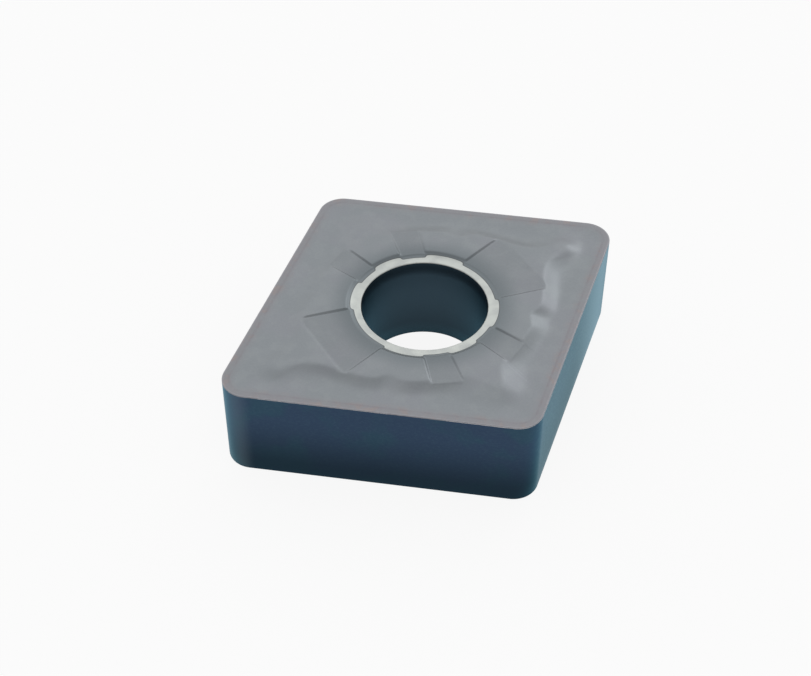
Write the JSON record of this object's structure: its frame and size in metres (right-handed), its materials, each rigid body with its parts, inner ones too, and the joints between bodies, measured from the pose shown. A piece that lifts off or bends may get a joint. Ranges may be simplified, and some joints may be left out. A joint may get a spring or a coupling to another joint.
{
  "type": "carbide insert",
  "caption": "Rhombic indexable turning insert of coated hard metal, with a central clamping hole and a pressed chip former on its upper face.",
  "frame": {"origin": "centre of the flat seat, on the axis of the hole", "axes": "+Z along the hole, from the seat to the chip former; +X through an acute corner; +Y through an obtuse corner"},
  "size_m": [0.0278, 0.0238, 0.0066],
  "materials": {
    "coated_carbide": "satin dark coating, grey on the rake side and blue-black on the flanks, with a bright contact ring round the hole"
  },
  "bodies": {
    "root": {"insert_body": "coated_carbide"}
  },
  "joints": []
}
